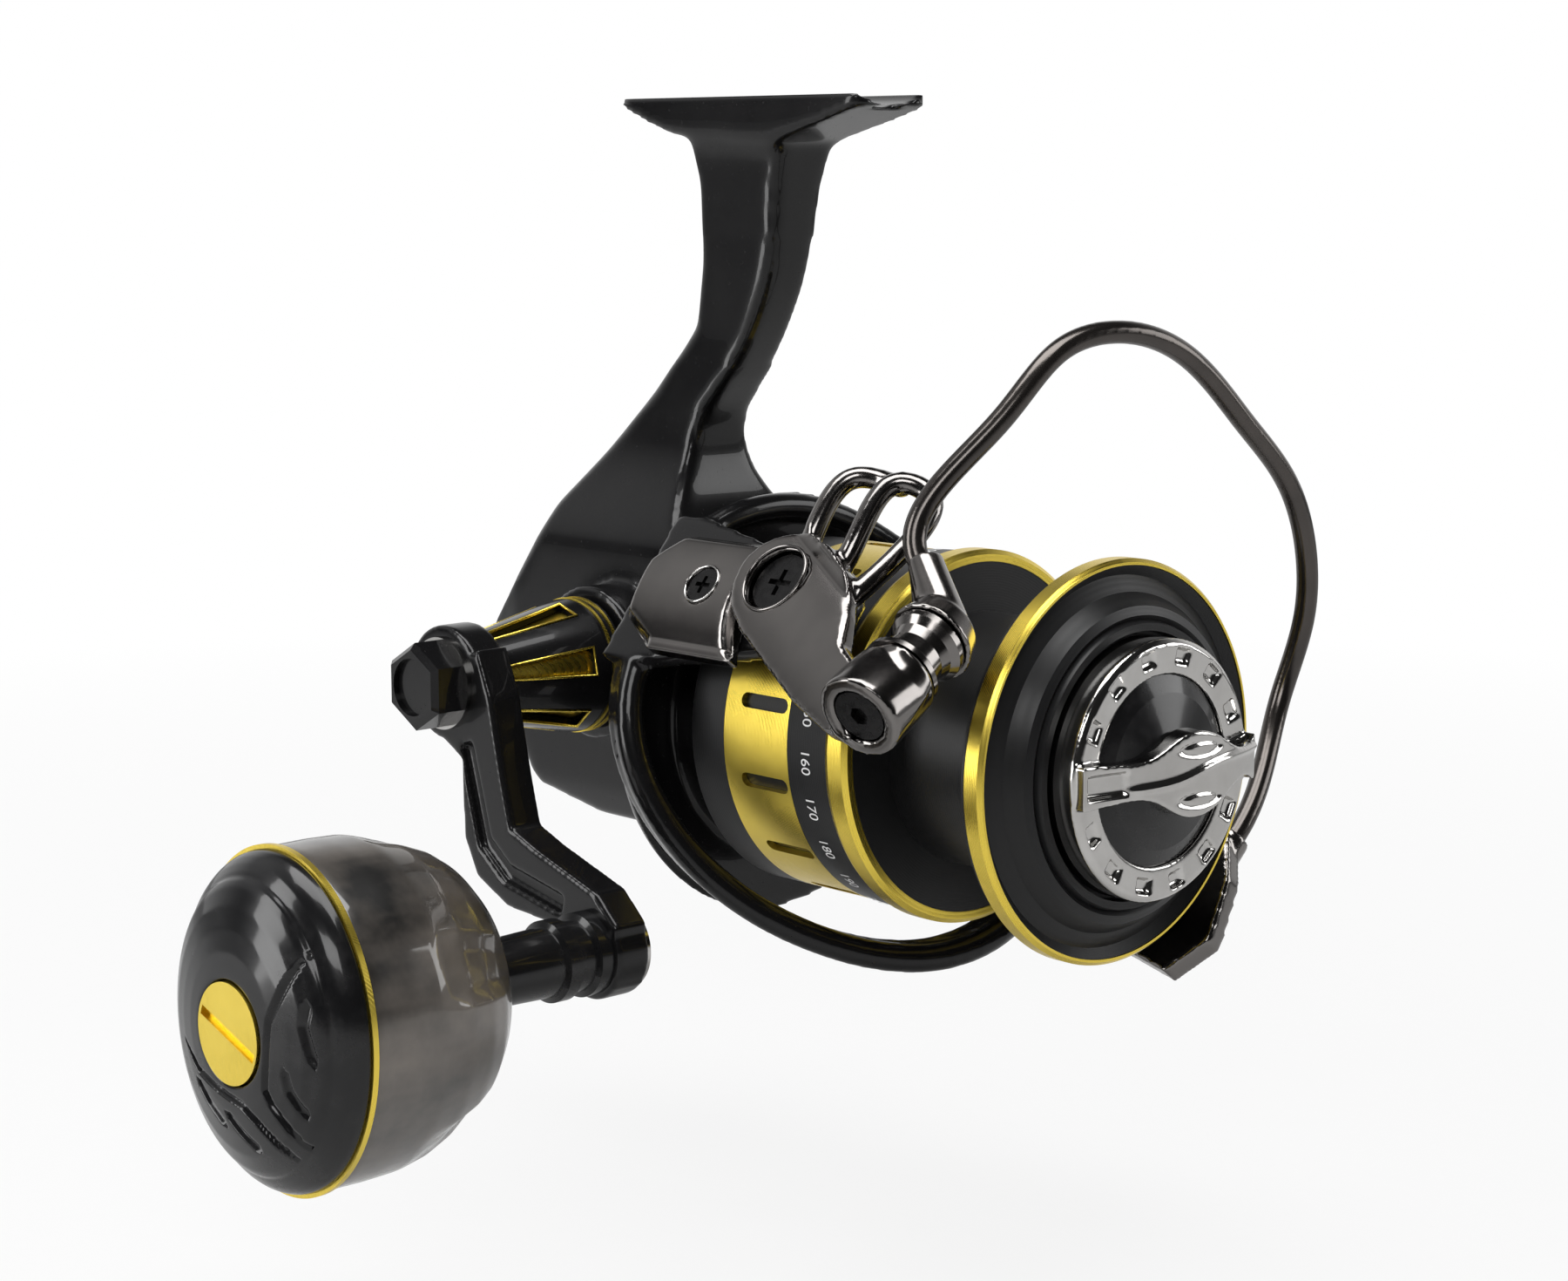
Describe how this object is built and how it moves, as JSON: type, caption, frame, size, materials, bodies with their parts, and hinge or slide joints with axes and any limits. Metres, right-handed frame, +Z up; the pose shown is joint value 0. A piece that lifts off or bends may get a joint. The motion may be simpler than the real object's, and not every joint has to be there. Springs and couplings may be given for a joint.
{
  "type": "fixed-spool fishing reel",
  "caption": "Large fixed-spool fishing reel: gloss black body on a rod foot, right-hand crank with round knob, rotor with flip-over bail, gold-ringed spool and chrome drag knob.",
  "frame": {"origin": "centre of the reel foot's seat, where the rod lies, at the level of the seat's edges", "axes": "+X forward along the spool axis, +Y to the reel's left, away from the crank, +Z up out of the seat into the rod"},
  "size_m": [0.1745, 0.1968, 0.1725],
  "materials": {
    "gloss_black": "deep gloss black paint",
    "gunmetal": "dark black-chrome plating",
    "satin_black": "satin black anodising",
    "gold": "gold anodising, bright cut",
    "chrome": "bright chrome plating",
    "insert_black": "gloss black plastic",
    "knob_grey": "mottled smoke-grey lacquer",
    "steel": "turned steel",
    "dark_screw": "black-plated screws",
    "brass": "machined brass",
    "zinc": "machined gear alloy",
    "fibre": "woven fibre drag discs",
    "rubber": "seal rubber"
  },
  "bodies": {
    "frame": {"housing": "gloss_black", "side_cover": "gloss_black", "cover_screws": "dark_screw", "left_cap": "gloss_black", "crank_seal": "rubber", "drive_bearings": "steel", "pinion_bush": "brass", "pinion_bearing": "steel", "one_way_clutch": "steel", "guide_rods": "steel"},
    "crank": {"drive_gear": "zinc", "crank_spindle": "steel", "cone_hub": "gloss_black", "cone_liner": "gold", "hub_rings": "gold", "handle_arm": "gloss_black", "arm_washer": "chrome", "hex_cap": "gloss_black", "knob_spindle": "steel", "spindle_washer": "chrome", "knob_sleeve": "insert_black"},
    "knob": {"knob_cup": "knob_grey", "knob_bearings": "steel", "knob_ring": "gold", "knob_cap": "insert_black", "knob_screw": "gold"},
    "oscillator": {"oscillation_gear": "steel"},
    "shaft": {"main_shaft": "steel", "slider": "steel", "drag_plates": "steel"},
    "spool": {"spool": "satin_black", "spool_bearing": "steel", "spool_flange": "satin_black", "spool_rim": "gold", "skirt_lip": "gold", "skirt": "satin_black", "skirt_sleeve": "gold", "click_ratchet": "fibre", "drag_washers": "fibre", "drag_retainer": "steel"},
    "drag": {"drag_knob": "chrome", "drag_inserts": "insert_black", "drag_nut": "brass", "drag_spring": "steel", "drag_seal": "rubber"},
    "rotor": {"rotor": "gloss_black", "pinion": "brass", "rotor_nut": "brass", "arm_cover": "gunmetal", "arm_cover_rear": "gunmetal", "arm_cover_screws": "dark_screw", "bail_spring": "steel", "pivot_screws": "dark_screw"},
    "bail": {"bail_wire": "gunmetal", "wire_cone": "gunmetal", "bail_lever": "gunmetal", "roller_screw": "dark_screw", "bail_lever_rear": "gunmetal"},
    "roller": {"line_roller": "gunmetal", "roller_bearing": "steel"}
  },
  "joints": [
    {"name": "rotor_spin", "type": "hinge", "parent": "frame", "child": "rotor", "pos_m": [0, 0, -0.1105], "axis": [1, 0, 0], "continuous": true},
    {"name": "crank_spin", "type": "hinge", "parent": "frame", "child": "crank", "pos_m": [-0.017, 0, -0.103], "axis": [0, 1, 0], "continuous": true},
    {"name": "oscillation_spin", "type": "hinge", "parent": "frame", "child": "oscillator", "pos_m": [-0.04, 0, -0.1105], "axis": [0, 1, 0], "continuous": true},
    {"name": "knob_spin", "type": "hinge", "parent": "crank", "child": "knob", "pos_m": [0.022, -0.1, -0.1445], "axis": [0, 1, 0], "continuous": true},
    {"name": "spool_stroke", "type": "slide", "parent": "frame", "child": "shaft", "axis": [1, 0, 0], "range_m": [-0.008, 0.008]},
    {"name": "drag_slip", "type": "hinge", "parent": "shaft", "child": "spool", "pos_m": [0.07, 0, -0.1105], "axis": [1, 0, 0], "continuous": true},
    {"name": "drag_knob_turn", "type": "hinge", "parent": "shaft", "child": "drag", "pos_m": [0.095, 0, -0.1105], "axis": [1, 0, 0], "range_deg": [-540, 540]},
    {"name": "bail_open", "type": "hinge", "parent": "rotor", "child": "bail", "pos_m": [0.046, 0, -0.1105], "axis": [0, 0.788, -0.6157], "range_deg": [0, 100]},
    {"name": "line_roller_spin", "type": "hinge", "parent": "bail", "child": "roller", "pos_m": [0.08, -0.04076, -0.08957], "axis": [-0.134, 0.8885, 0.4389], "continuous": true}
  ],
  "couplings": [
    {"joint": "crank_spin", "follows": "rotor_spin", "ratio": 0.2},
    {"joint": "oscillation_spin", "follows": "rotor_spin", "ratio": -0.25}
  ]
}
